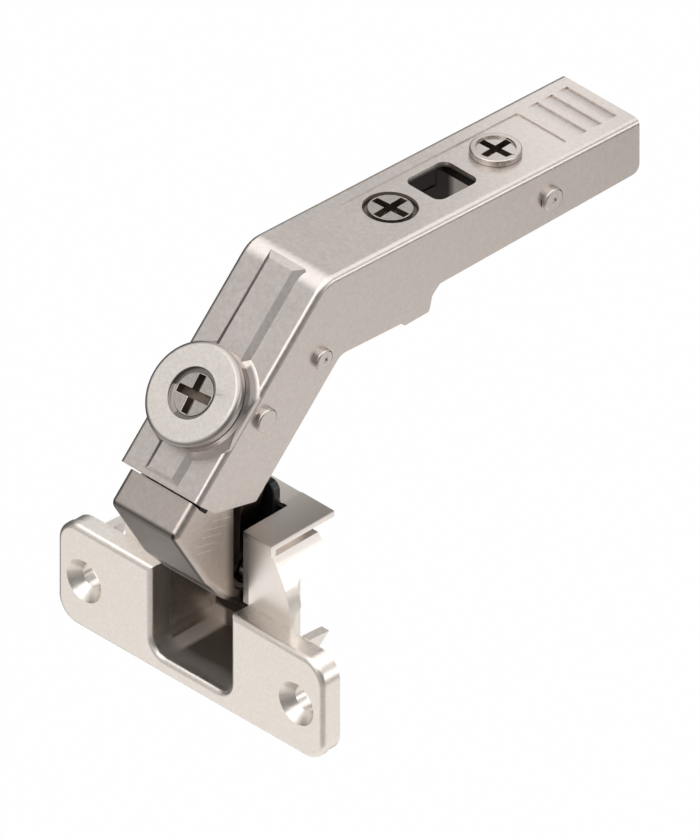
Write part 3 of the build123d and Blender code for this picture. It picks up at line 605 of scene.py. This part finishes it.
def dressNode(name, look):
    data = copyNode(name)
    piece = bpy.data.objects.new(name + "_look", data)
    bpy.context.scene.collection.objects.link(piece)
    data.materials.append(finishes[look["finish"]])
    if name in recess:
        data.materials.append(finishes["recess"])
        paintRecessShade(data, recess[name])
    if look["edge"]:
        roundEdges(piece, look["edge"] * mm)
    smoothFaces(piece)
    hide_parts(name)
    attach(piece, bodyOf[name])


for nodeName, look in dressing.items():
    dressNode(nodeName, look)
print("pieces dressed:", len(dressing))


# Studio floor: pale near the hinge and shaded towards its edges, and white where the camera sees it

studio = {"worldLight": 0.56, "worldTint": (1.0, 0.985, 0.97), "white": (1.0, 1.0, 1.0)}
floor = {
    "depth": 0.16, "size": 6.0, "rough": 0.9, "seen": 0.995,
    "near": (0.97, 0.955, 0.94), "far": (0.96, 0.945, 0.93), "farFrom": -0.30, "farTo": 0.34,
    "beyond": (0.22, 0.215, 0.21), "beyondFrom": 0.56, "beyondTo": 0.74,
    "dark": (0.10, 0.095, 0.09), "darkFrom": 0.06, "darkTo": 0.22,
    "dim": (0.42, 0.40, 0.385), "dimFrom": -0.14, "dimTo": -0.34,
}


def floorFinish():
    finish = Finish("floor_white")
    ahead = finish.dot(finish.place, (1.0, 1.0, 0.0))
    aside = finish.dot(finish.place, (-1.0, 1.0, 0.0))
    colour = finish.blend(
        finish.ramp(ahead, floor["farFrom"], floor["farTo"]), shade(*floor["near"]), shade(*floor["far"])
    )
    for name, place in (("beyond", ahead), ("dark", aside), ("dim", aside)):
        amount = finish.ramp(place, floor[name + "From"], floor[name + "To"], True)
        colour = finish.blend(amount, colour, shade(*floor[name]))
    finish.set(Base_Color=colour, Roughness=floor["rough"])
    seen = finish.node("ShaderNodeLightPath", {}, {}, "Is Camera Ray") * floor["seen"]
    glow = finish.node("ShaderNodeEmission", {}, {"Color": shade(*studio["white"]), "Strength": 1.0})
    own = Value(finish, finish.shader.outputs[0])
    mix = finish.node("ShaderNodeMixShader", {}, {0: seen, 1: own, 2: glow})
    finish.plug(finish.tree.nodes["Material Output"].inputs["Surface"], mix)
    return finish.material


def makeFloor():
    sheet = bmesh.new()
    bmesh.ops.create_grid(sheet, x_segments=1, y_segments=1, size=floor["size"] / 2)
    bmesh.ops.translate(sheet, vec=(0, 0, -floor["depth"]), verts=sheet.verts)
    data = bpy.data.meshes.new("floor")
    sheet.to_mesh(data)
    sheet.free()
    ground = bpy.data.objects.new("floor", data)
    bpy.context.scene.collection.objects.link(ground)
    data.materials.append(floorFinish())


makeFloor()


# Surroundings: an even glow with brighter and darker patches, as panels in a studio give. The camera
# itself sees plain white

patches = {
    "right": {"towards": (0.816, 0.577, 0.02), "gain": 1.7, "inner": 7, "outer": 22},
    "frontHigh": {"towards": (0.08, -0.7, 0.7), "gain": 0.9, "inner": 8, "outer": 28},
    "leftFront": {"towards": (-0.577, -0.577, 0.577), "gain": 0.02, "inner": 12, "outer": 45},
    "leftBack": {"towards": (-0.577, 0.577, 0.577), "gain": -0.03, "inner": 12, "outer": 40},
    "viewer": {"towards": (0.84, -0.42, 0.36), "gain": -0.38, "inner": 12, "outer": 42},
    "left": {"towards": (-0.998, 0.06, 0.0), "gain": -0.47, "inner": 24, "outer": 46},
    "backHigh": {"towards": (-0.07, 0.58, 0.81), "gain": -0.25, "inner": 8, "outer": 24},
}


def makeWorld():
    world = bpy.data.worlds.new("studio")
    bpy.context.scene.world = world
    world.use_nodes = True
    sky = Graph(world.node_tree)
    heading = sky.node("ShaderNodeTexCoord", {}, {}, "Generated")
    glow = studio["worldLight"]
    for patch in patches.values():
        inner, outer = math.cos(math.radians(patch["inner"])), math.cos(math.radians(patch["outer"]))
        glow = sky.ramp(sky.dot(heading, patch["towards"]), outer, inner, True) * patch["gain"] + glow
    back = sky.tree.nodes["Background"]
    sky.plug(back.inputs["Color"], shade(*studio["worldTint"]))
    sky.plug(back.inputs["Strength"], glow)
    white = sky.node("ShaderNodeBackground", {}, {"Color": shade(*studio["white"]), "Strength": 1.0})
    ray = sky.node("ShaderNodeLightPath", {}, {}, "Is Camera Ray")
    pick = sky.node("ShaderNodeMixShader", {}, {0: ray, 1: Value(sky, back.outputs[0]), 2: white})
    sky.plug(sky.tree.nodes["World Output"].inputs["Surface"], pick)


makeWorld()


# A wide lamp above, and a small one that brightens the arm's far end

lamps = {
    "above": {"at": (0.02, 0.05, 0.6), "to": (0.0, 0.03, 0.024), "power": 3.7, "size": 1.2},
    "topFar": {"at": (-0.05, 0.131, 0.107), "to": (0.0, 0.081, 0.057), "power": 0.0018, "size": 0.03},
}


def makeLamp(name, lamp):
    light = bpy.data.lights.new(name, "AREA")
    light.energy = lamp["power"]
    light.shape = "DISK"
    light.size = lamp["size"]
    holder = bpy.data.objects.new(name, light)
    holder.location = lamp["at"]
    ahead = Vector(lamp["to"]) - Vector(lamp["at"])
    holder.rotation_euler = ahead.to_track_quat("-Z", "Y").to_euler()
    bpy.context.scene.collection.objects.link(holder)


for lampName, lamp in lamps.items():
    makeLamp(lampName, lamp)


# The photograph is a true parallel view, so the camera is too

view = {
    "from": (1, -1, 1), "centre": (0.0, 30.12 * mm, 23.89 * mm), "tall": 0.12592, "away": 0.5,
    "nearest": 0.01, "farthest": 20.0,
}


def makeCamera():
    eye = Vector(view["from"]).normalized()
    lens = bpy.data.cameras.new("camera")
    lens.type = "ORTHO"
    lens.ortho_scale = view["tall"]
    lens.clip_start = view["nearest"]
    lens.clip_end = view["farthest"]
    camera = bpy.data.objects.new("camera", lens)
    camera.location = Vector(view["centre"]) + eye * view["away"]
    camera.rotation_euler = (-eye).to_track_quat("-Z", "Y").to_euler()
    bpy.context.scene.collection.objects.link(camera)
    bpy.context.scene.camera = camera


makeCamera()
bpy.context.scene.view_settings.view_transform = "Standard"
print("studio set")
